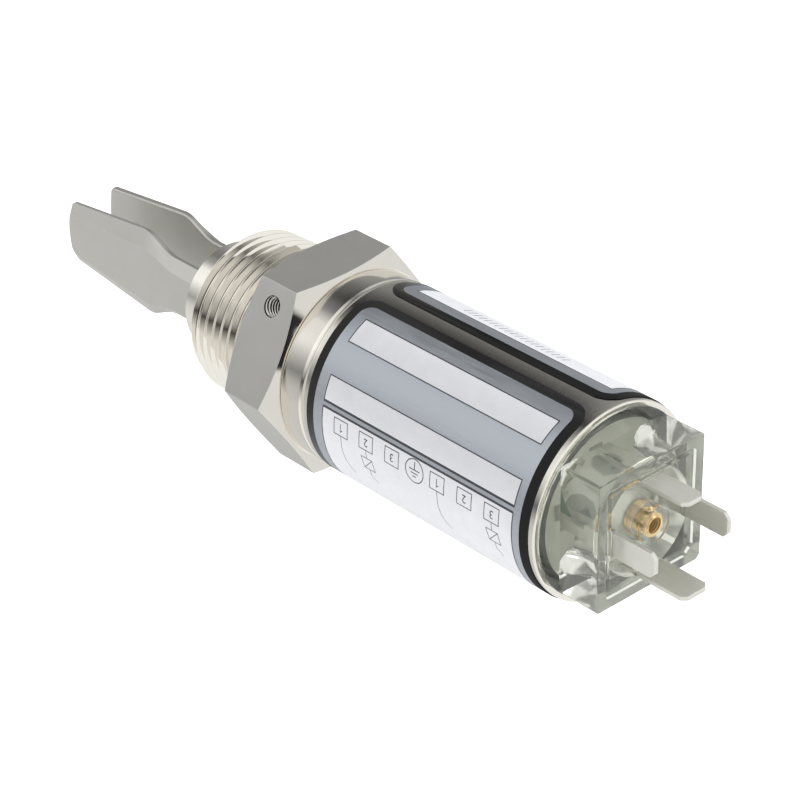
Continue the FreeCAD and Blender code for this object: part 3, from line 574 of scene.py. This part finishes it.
labelBlack = makeFinish("moulded", "labelBlack", (0.007, 0.0075, 0.008), 0.28,
                        {"Specular IOR Level": 0.2}, marks=500.0)
labelWhite = makeFinish("moulded", "labelWhite", (0.76, 0.77, 0.80), 0.35, marks=300.0)
labelInk = makeFinish("moulded", "labelInk", (0.045, 0.05, 0.06), 0.35, marks=600.0)
labelGrey = makeFinish("moulded", "labelGrey", (0.12, 0.14, 0.16), 0.35, marks=600.0)
labelSilver = makeFinish("plated", "labelSilver", (0.54, 0.575, 0.62), 0.5)
labelInks = (labelBlack, labelSilver, labelWhite, labelInk, labelGrey)
silver, white, ink, grey = range(1, 5)  # places in labelInks; the film itself is black
silverLayer, fieldLayer, inkLayer = 1, 2, 3  # layers above the film

labelSizes = {
    "radius": 19.2, "layer": 0.007, "columnStep": 1.5, "cornerSteps": 8, "circleSteps": 28, "textStep": 0.35,
    "start": 99.6, "end": 449.4, "border": 1.9, "innerCorner": 2.4,
    "fieldLow": 25.2, "fieldHigh": 74.5, "outline": 0.22,
    "fields": ((114.5, 130.0), (150.3, 164.5)), "panel": (168.6, 436.0), "gapLine": (165.2, 168.0),
    "bars": (424.5, 431.5, 36.0, 61.0, 20),  # angles and heights from and to, count
}
# The wiring plan: boxes with a digit, and lines from each box's edge in degrees round and mm along the tube
planSizes = {
    "boxHalf": 1.8, "boxAngles": (171.1, 180.7), "digitAngle": 175.9, "digitHeight": 2.3, "boxLine": 0.8,
    "figureOne": ((-0.42, 0.38), (0.08, 0.8), (0.08, -0.8)),
    "groups": ((30.3, 37.1, 44.0), (55.8, 62.7, 69.5)), "loadAt": (1, 2), "wireWidth": 0.14,
    "wire": ((0, 0), (9, 0), (15, 0.4), (20, 1.2), (23, 2.2)), "toLoad": ((0, 0), (5, 0.1)),
    "load": ((5, -1.4), (5, 1.5), (12, 2.0), (12, -0.8)), "loadWidth": 0.18, "slashWidth": 0.16,
    "fromLoad": ((12, 0.5), (16, 0.6), (20, 2.0)),
    "earthHeight": 50.0, "earthRadius": 2.3, "earthShift": 0.4, "earthWidth": 0.2, "earthStem": (-5.4, -0.6),
    "earthBars": ((-0.6, 1.35), (1.4, 0.9), (3.3, 0.45)),
}


def bentPoint(angle, height, lift):  # lift counts layers above the film
    radius = (labelSizes["radius"] + lift * labelSizes["layer"]) * mm
    turn = math.radians(angle)
    return Vector((radius * math.cos(turn), radius * math.sin(turn), height * mm))


def arcDegrees(length):
    return math.degrees(length / labelSizes["radius"])


def printPatch(bm, paint, angle0, angle1, low, high, lift, corner=0.0):  # in columns, to bend with the tube
    arc = math.radians(angle1 - angle0) * labelSizes["radius"]
    count = math.ceil((angle1 - angle0) / labelSizes["columnStep"])
    stations = {arc * i / count for i in range(count + 1)}
    steps = labelSizes["cornerSteps"]
    for i in range(1, steps + 1):
        inset = corner * (1 - math.cos(math.pi / 2 * i / steps))
        stations |= {inset, arc - inset}
    before = None
    for station in sorted(stations):
        fromEnd = min(station, arc - station)
        inset = corner - math.sqrt(max(corner ** 2 - (corner - fromEnd) ** 2, 0)) if fromEnd < corner else 0
        angle = angle0 + arcDegrees(station)
        pair = [bm.verts.new(bentPoint(angle, height, lift)) for height in (low + inset, high - inset)]
        if before:
            bm.faces.new((before[0], pair[0], pair[1], before[1])).material_index = paint
        before = pair


def printLine(bm, paint, points, width, closed=False):  # of even width, mitred where it turns
    radius = labelSizes["radius"]
    flat = []
    chain = points + points[:1] if closed else points
    for (a0, z0), (a1, z1) in zip(chain, chain[1:]):
        parts = max(1, math.ceil(abs(a1 - a0) / labelSizes["columnStep"]))
        flat += [(math.radians(a0 + (a1 - a0) * i / parts) * radius, z0 + (z1 - z0) * i / parts)
                 for i in range(parts)]
    if not closed:
        flat.append((math.radians(points[-1][0]) * radius, points[-1][1]))
    count = len(flat)
    pairs = []
    for index, (x, y) in enumerate(flat):
        beforeX, beforeY = flat[index - 1] if closed or index else flat[index]
        afterX, afterY = flat[(index + 1) % count] if closed or index < count - 1 else flat[index]
        first = Vector((x - beforeX, y - beforeY)).normalized()
        second = Vector((afterX - x, afterY - y)).normalized()
        along = (first + second).normalized()
        normal = Vector((-along.y, along.x))
        steepest = max(normal.dot(Vector((-second.y, second.x))) if second.length else 1.0, 0.5)
        offset = normal * (width / 2 / steepest)
        pairs.append([bm.verts.new(bentPoint(math.degrees((x + side * offset.x) / radius),
                                             y + side * offset.y, inkLayer)) for side in (-1, 1)])
    for index in range(count if closed else count - 1):
        here, there = pairs[index], pairs[(index + 1) % count]
        bm.faces.new((here[0], there[0], there[1], here[1])).material_index = paint


def outlined(bm, angle0, angle1, low, high, width):
    corners = [(angle0, low), (angle1, low), (angle1, high), (angle0, high)]
    printLine(bm, ink, corners, width, closed=True)


def printText(bm, words, angle, height, size):  # reads from the plug towards the fork
    curve = bpy.data.curves.new("print", "FONT")
    curve.body, curve.size = words, size
    curve.align_x, curve.align_y = "CENTER", "CENTER"
    holder = bpy.data.objects.new("print", curve)
    scene.collection.objects.link(holder)
    graph = bpy.context.evaluated_depsgraph_get()
    mesh = bpy.data.meshes.new_from_object(holder.evaluated_get(graph))
    flat = bmesh.new()
    flat.from_mesh(mesh)
    lowest, highest = (f(v.co.y for v in flat.verts) for f in (min, max))
    cut = lowest
    while cut < highest:
        everything = flat.verts[:] + flat.edges[:] + flat.faces[:]
        bmesh.ops.bisect_plane(flat, geom=everything, plane_co=(0, cut, 0), plane_no=(0, 1, 0))
        cut += labelSizes["textStep"]
    made = {}
    for v in flat.verts:
        made[v] = bm.verts.new(bentPoint(angle + arcDegrees(v.co.y), height - v.co.x, inkLayer))
    for face in flat.faces:
        bm.faces.new([made[v] for v in face.verts]).material_index = ink
    flat.free()
    bpy.data.objects.remove(holder)


def circlePoints(angle, height, radius):
    count = labelSizes["circleSteps"]
    return [(angle + arcDegrees(radius * math.cos(2 * math.pi * i / count)),
             height + radius * math.sin(2 * math.pi * i / count)) for i in range(count)]


def printConnections(bm):
    s = planSizes
    angle0, angle1 = s["boxAngles"]
    half, line = s["boxHalf"], labelSizes["outline"] * s["boxLine"]

    def printWire(points, height, width, closed=False):
        printLine(bm, grey, [(angle1 + turn, height + rise) for turn, rise in points], width, closed)

    for group, loadAt in zip(s["groups"], s["loadAt"]):
        for index, height in enumerate(group):
            outlined(bm, angle0, angle1, height - half, height + half, line)
            if index:
                printText(bm, str(index + 1), s["digitAngle"], height, s["digitHeight"])
            else:
                one = [(s["digitAngle"] + arcDegrees(y), height - x) for x, y in s["figureOne"]]
                printLine(bm, ink, one, line)
        load = group[loadAt]
        printWire(s["wire"], group[0], s["wireWidth"])
        printWire(s["toLoad"], load, s["wireWidth"])
        printWire(s["load"], load, s["loadWidth"], closed=True)
        printWire((s["load"][1], s["load"][3]), load, s["slashWidth"])
        printWire(s["fromLoad"], load, s["wireWidth"])
    middle, height, width = s["digitAngle"] + s["earthShift"], s["earthHeight"], s["earthWidth"]
    printLine(bm, ink, circlePoints(middle, height, s["earthRadius"]), width, closed=True)
    printLine(bm, ink, [(middle + turn, height) for turn in s["earthStem"]], width)
    for turn, reach in s["earthBars"]:
        printLine(bm, ink, [(middle + turn, height - reach), (middle + turn, height + reach)], width)


def makeLabel():
    s = labelSizes
    low, high = (corner[2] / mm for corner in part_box("wrap_label"))
    label = mergedCopy("wrap_label", "printedLabel")
    for finish in labelInks:
        label.data.materials.append(finish)
    edge = arcDegrees(s["border"])
    bm = bmesh.new()
    printPatch(bm, silver, s["start"] + edge, s["end"] - edge, low + s["border"], high - s["border"],
               silverLayer, s["innerCorner"])
    for angle0, angle1 in s["fields"]:
        printPatch(bm, white, angle0, angle1, s["fieldLow"], s["fieldHigh"], fieldLayer)
        outlined(bm, angle0, angle1, s["fieldLow"], s["fieldHigh"], s["outline"])
    for angle in s["gapLine"]:
        printLine(bm, ink, [(angle, s["fieldLow"]), (angle, s["fieldHigh"])], s["outline"])
    printPatch(bm, white, *s["panel"], s["fieldLow"], s["fieldHigh"], fieldLayer)
    outlined(bm, *s["panel"], s["fieldLow"], s["fieldHigh"], s["outline"])
    printConnections(bm)
    angle0, angle1, first, last, count = s["bars"]
    for i in range(count):
        height = first + (last - first) * i / (count - 1)
        printLine(bm, grey, [(angle0, height), (angle1, height)], s["outline"])
    layers = addObject("labelLayers", meshFrom(bm, "labelLayers"), *labelInks)
    label = joined(label, layers)
    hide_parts("wrap_label")
    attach(label, "root")
    print("label:", len(label.data.polygons), "faces")


makeLabel()


# Camera, floor and light, in metres apart from the lens and the sensor

cameraPlace = {"camera": (-0.28735, 0.25321, 0.35002), "aim": (-0.001388, -0.001558, 0.026491),
               "roll": 118.739, "lens": 121.754, "sensor": 36.0, "clip": (0.01, 50)}


def makeCamera():
    s = cameraPlace
    data = bpy.data.cameras.new("camera")
    data.lens, data.sensor_width, data.sensor_fit = s["lens"], s["sensor"], "HORIZONTAL"
    data.clip_start, data.clip_end = s["clip"]
    camera = bpy.data.objects.new("camera", data)
    scene.collection.objects.link(camera)
    place, aim = Vector(s["camera"]), Vector(s["aim"])
    turn = (aim - place).to_track_quat("-Z", "Y").to_matrix().to_4x4()
    camera.matrix_world = Matrix.Translation(place) @ turn @ Matrix.Rotation(math.radians(s["roll"]), 4, "Z")
    scene.camera = camera


# How bright the flags and white walls round the object are, by turn from 0 to 1 of the azimuth. The tube and
# the nose mirror the first row, and the flanks of the thread the second.
surroundings = ((0.0, 0.40), (0.06, 0.38), (0.11, 0.34), (0.165, 0.2), (0.225, 0.12), (0.28, 0.3),
                (0.325, 0.92), (0.40, 1.0), (0.45, 0.6), (0.495, 0.3), (0.54, 0.6), (0.60, 0.72),
                (0.84, 0.70), (0.90, 0.95), (0.95, 0.88), (1.0, 0.40))
threadSurroundings = ((0.0, 0.5), (0.06, 0.6), (0.115, 0.65), (0.17, 0.6), (0.225, 0.2), (0.28, 0.8),
                      (0.335, 1.1), (0.40, 1.2), (0.45, 0.85), (0.50, 0.05), (0.56, 0.95), (0.62, 1.0),
                      (0.90, 0.95), (1.0, 0.6))


def surroundingLight(tree, levels, gain, lift):  # brightness by the direction round Z of a point
    place = addNode(tree, "ShaderNodeTexCoord").outputs["Object"]
    split = addNode(tree, "ShaderNodeSeparateXYZ", {"Vector": place})
    turn = addMath(tree, "ARCTAN2", split.outputs["Y"], split.outputs["X"])
    share = addMath(tree, "FRACT", addMath(tree, "ADD", addMath(tree, "DIVIDE", turn, 2 * math.pi), 1.0))
    ramp = addNode(tree, "ShaderNodeValToRGB", {"Fac": share})
    points = ramp.color_ramp.elements
    points[0].position, points[0].color = levels[0][0], (levels[0][1],) * 3 + (1,)
    points[1].position, points[1].color = levels[-1][0], (levels[-1][1],) * 3 + (1,)
    for position, level in levels[1:-1]:
        points.new(position).color = (level, level, level, 1)
    return addMath(tree, "MULTIPLY_ADD", ramp.outputs["Color"], gain, lift)


floorSizes = {"drop": 0.30, "half": 12.0, "color": (0.8, 0.8, 0.8, 1), "seen": 0.62, "mirrored": (1.12, 0.08)}


def makeFloor():
    s = floorSizes
    bm = bmesh.new()
    half = s["half"]
    corners = ((-half, -half), (half, -half), (half, half), (-half, half))
    bm.faces.new([bm.verts.new((x, y, -s["drop"])) for x, y in corners])
    material, tree = emptyMaterial("paleFloor")
    path = addNode(tree, "ShaderNodeLightPath").outputs
    pale = addNode(tree, "ShaderNodeBsdfDiffuse", {"Color": s["color"]})
    seen = addMath(tree, "MAXIMUM", path["Is Camera Ray"], path["Is Transmission Ray"])
    lit = addNode(tree, "ShaderNodeEmission", {"Strength": addMath(tree, "MULTIPLY", seen, s["seen"])})
    floor = addNode(tree, "ShaderNodeAddShader", {0: pale.outputs[0], 1: lit.outputs[0]})
    mirroredLight = surroundingLight(tree, surroundings, *s["mirrored"])
    mirrored = addNode(tree, "ShaderNodeEmission", {"Strength": mirroredLight})
    mix = addNode(tree, "ShaderNodeMixShader", {"Fac": path["Is Glossy Ray"], 1: floor.outputs[0],
                                                2: mirrored.outputs[0]})
    addNode(tree, "ShaderNodeOutputMaterial", {"Surface": mix.outputs[0]})
    addObject("floor", meshFrom(bm, "floor"), material)


def lightSheet(name, mesh, material, tree, strength):  # glows, and only polished surfaces see it
    lit = addNode(tree, "ShaderNodeEmission", {"Strength": strength})
    addNode(tree, "ShaderNodeOutputMaterial", {"Surface": lit.outputs[0]})
    sheet = addObject(name, mesh, material)
    sheet.visible_camera = sheet.visible_diffuse = sheet.visible_shadow = sheet.visible_transmission = False
    return sheet


# Stacked rings round the object: heights from and to, levels, and the gain and lift of these
ringSizes = {"radius": 0.34, "steps": 96}
rings = ((-0.30, -0.275, surroundings, 1.0, 0.0), (-0.275, -0.155, surroundings, 1.0, -0.14),
         (-0.155, 0.02, threadSurroundings, 1.0, 0.0))


def makeStudioRings():
    steps = ringSizes["steps"]
    for index, (low, high, levels, gain, lift) in enumerate(rings):
        name = "studioRing" + str(index + 1)
        bm = bmesh.new()
        rows = []
        for step in range(steps):
            angle = 2 * math.pi * step / steps
            x, y = ringSizes["radius"] * math.cos(angle), ringSizes["radius"] * math.sin(angle)
            rows.append([bm.verts.new((x, y, z)) for z in (low, high)])
        for here, there in zip(rows, rows[1:] + rows[:1]):
            bm.faces.new((here[0], there[0], there[1], here[1]))
        material, tree = emptyMaterial(name)
        strength = surroundingLight(tree, levels, gain, lift)
        ring = lightSheet(name, meshFrom(bm, name), material, tree, strength)


# A sheet overhead with two dark cards, mirrored by the thread and the hexagon's cone. Each card is a line
# between two places on the sheet, dark out to the core and fading over the soft rim.
ceiling = {"height": 0.6, "low": -0.55, "high": 0.65, "steps": 96}
cards = (
    {"line": ((-0.005, 0.008), (-0.08, -0.105)), "core": 0.05, "soft": 0.03, "level": 0.03},
    {"line": ((-0.36, -0.08), (-0.165, -0.095)), "core": 0.03, "soft": 0.045, "level": 0.01},
)


def cardShade(x, y):  # how bright the sheet overhead is at a place
    shade = 1.0
    for card in cards:
        start, end = (Vector(corner) for corner in card["line"])
        along = end - start
        share = min(max((Vector((x, y)) - start).dot(along) / along.length_squared, 0.0), 1.0)
        away = (Vector((x, y)) - start - along * share).length
        faded = min(max((away - card["core"]) / card["soft"], 0.0), 1.0)
        shade *= card["level"] + (1 - card["level"]) * faded * faded * (3 - 2 * faded)  # a smooth step
    return shade


def makeCeiling():
    s = ceiling
    bm = bmesh.new()
    count = s["steps"]
    places = [s["low"] + (s["high"] - s["low"]) * i / count for i in range(count + 1)]
    rows = [[bm.verts.new((x, y, s["height"])) for y in places] for x in places]
    for here, there in zip(rows, rows[1:]):
        for i in range(count):
            bm.faces.new((here[i], here[i + 1], there[i + 1], there[i]))
    mesh = meshFrom(bm, "ceiling")
    shade = mesh.attributes.new("shade", "FLOAT", "POINT")
    shade.data.foreach_set("value", [cardShade(v.co.x, v.co.y) for v in mesh.vertices])
    material, tree = emptyMaterial("ceiling")
    given = addNode(tree, "ShaderNodeAttribute", attribute_name="shade")
    sheet = lightSheet("ceiling", mesh, material, tree, given.outputs["Fac"])


worldLight = {"ambient": 0.76, "seen": 1.0}  # on matte surfaces, and in the backdrop and mirror images


def makeWorld():
    world = bpy.data.worlds.new("studio")
    scene.world = world
    world.use_nodes = True
    tree = world.node_tree
    tree.nodes.clear()
    path = addNode(tree, "ShaderNodeLightPath").outputs
    bent = addMath(tree, "MAXIMUM", path["Is Glossy Ray"], path["Is Transmission Ray"])
    seen = addMath(tree, "MAXIMUM", path["Is Camera Ray"], bent)
    white = (1, 1, 1, 1)
    ambient = addNode(tree, "ShaderNodeBackground", {"Color": white, "Strength": worldLight["ambient"]})
    plain = addNode(tree, "ShaderNodeBackground", {"Color": white, "Strength": worldLight["seen"]})
    mix = addNode(tree, "ShaderNodeMixShader", {"Fac": seen, 1: ambient.outputs[0], 2: plain.outputs[0]})
    addNode(tree, "ShaderNodeOutputWorld", {"Surface": mix.outputs[0]})


lamps = {  # azimuth and elevation in degrees, distance and size in metres, power in watts
    "leftLamp": {"azimuth": 228, "elevation": 12, "distance": 0.8, "size": 0.6, "power": 3.0},
    "rightLamp": {"azimuth": 48, "elevation": 20, "distance": 0.9, "size": 0.5, "power": 4.7},
}


def makeLamps():
    for name, s in lamps.items():
        data = bpy.data.lights.new(name, "AREA")
        data.shape, data.size, data.energy = "SQUARE", s["size"], s["power"]
        lamp = bpy.data.objects.new(name, data)
        scene.collection.objects.link(lamp)
        a, e = math.radians(s["azimuth"]), math.radians(s["elevation"])
        toLamp = Vector((math.cos(a) * math.cos(e), math.sin(a) * math.cos(e), math.sin(e)))
        turn = toLamp.to_track_quat("Z", "Y").to_matrix().to_4x4()
        lamp.matrix_world = Matrix.Translation(toLamp * s["distance"]) @ turn
        lamp.visible_glossy = False


makeCamera()
makeFloor()
makeStudioRings()
makeCeiling()
makeWorld()
makeLamps()
print("camera and light set")
